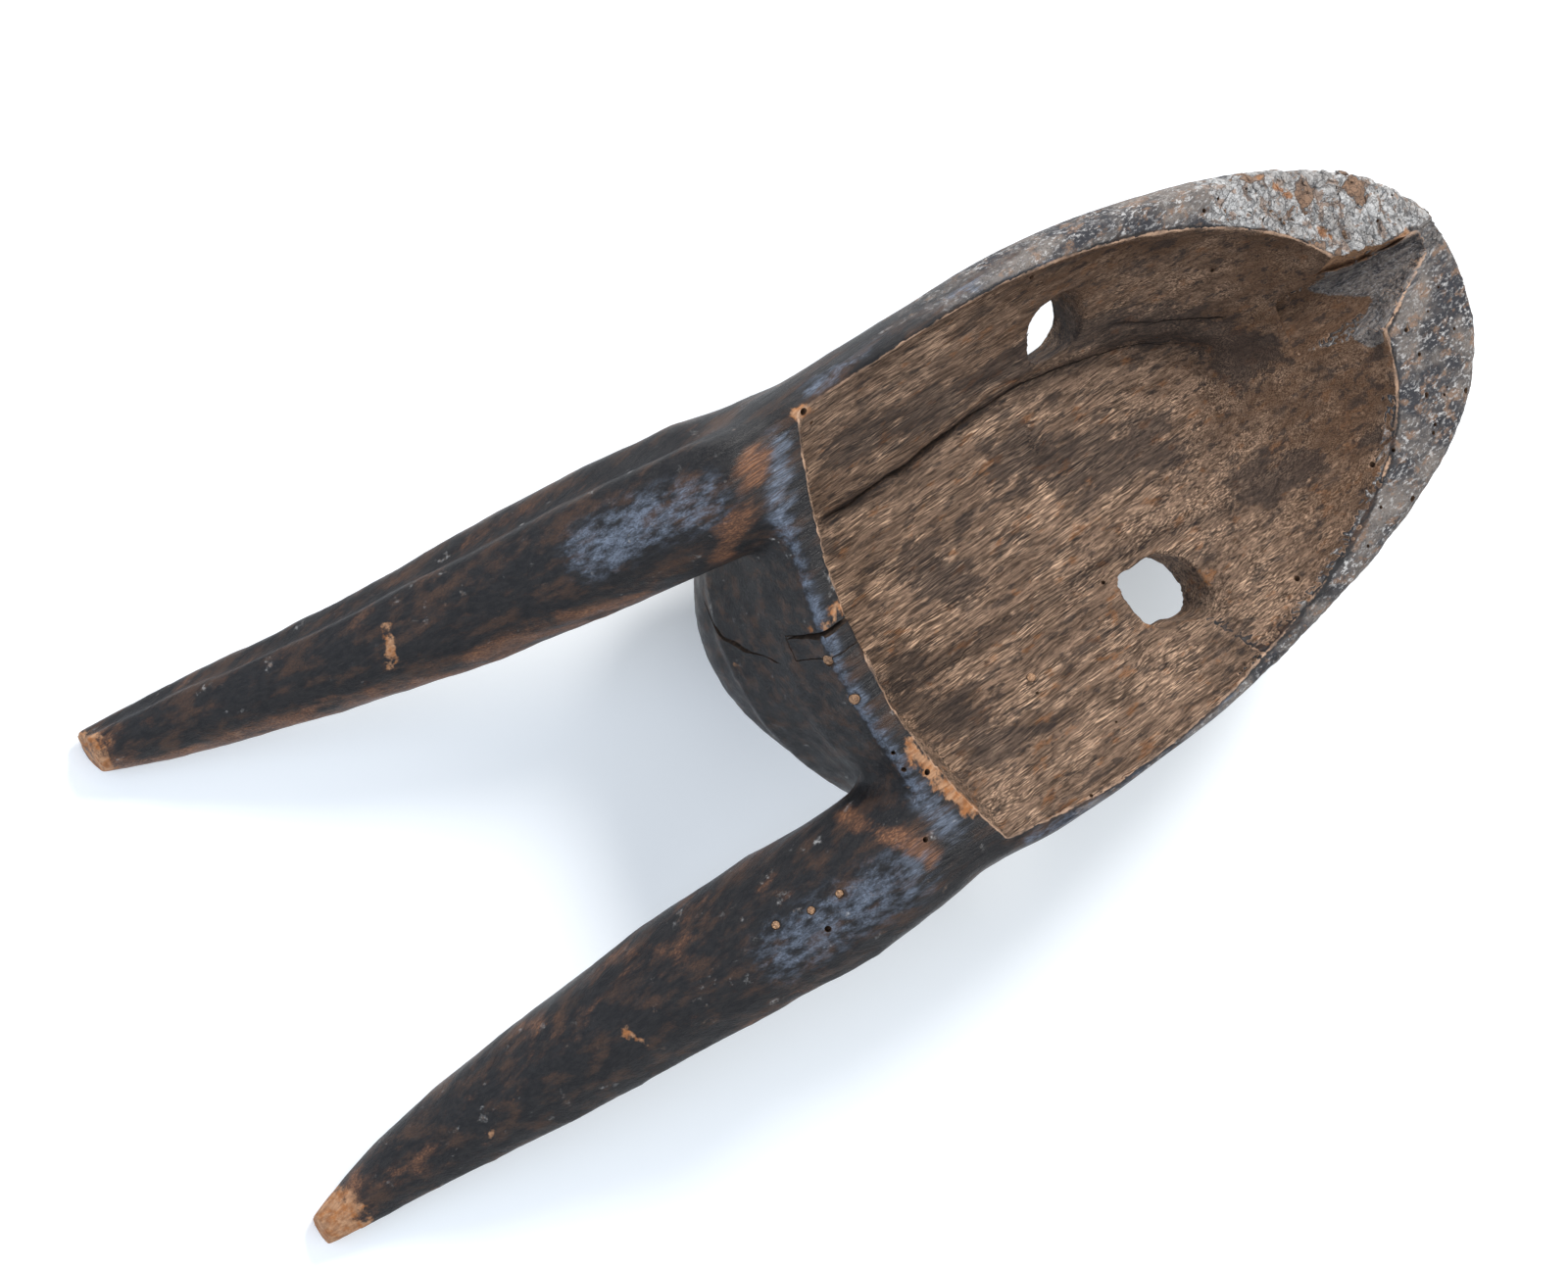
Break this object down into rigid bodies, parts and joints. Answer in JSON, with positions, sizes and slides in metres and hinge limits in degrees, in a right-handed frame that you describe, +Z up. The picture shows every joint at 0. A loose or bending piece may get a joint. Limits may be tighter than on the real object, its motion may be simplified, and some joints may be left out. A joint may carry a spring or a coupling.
{
  "type": "carved horned mask",
  "caption": "Carved wooden mask with two long horns, lying on its face: a deep hollow behind, eye holes, a muzzle in front, and small pegs and plugs set in the wood.",
  "frame": {"origin": "middle of the footprint, on the surface that the mask lies on", "axes": "+Z up, out of the hollow; +Y towards the chin and -Y towards the horn tips; +X across to the wearer's other side"},
  "size_m": [0.2448, 0.6239, 0.1429],
  "materials": {
    "patinated_wood": "old carved hardwood, dark handled patina outside, raw brown inside the hollow",
    "pale_peg_wood": "pale tan peg wood, dry and unpolished"
  },
  "bodies": {
    "root": {"carved_body": "patinated_wood", "rim_block": "patinated_wood", "block_peg": "pale_peg_wood", "rim_plug": "pale_peg_wood", "floor_plug": "pale_peg_wood", "horn_root_plugs": "pale_peg_wood"}
  },
  "joints": []
}
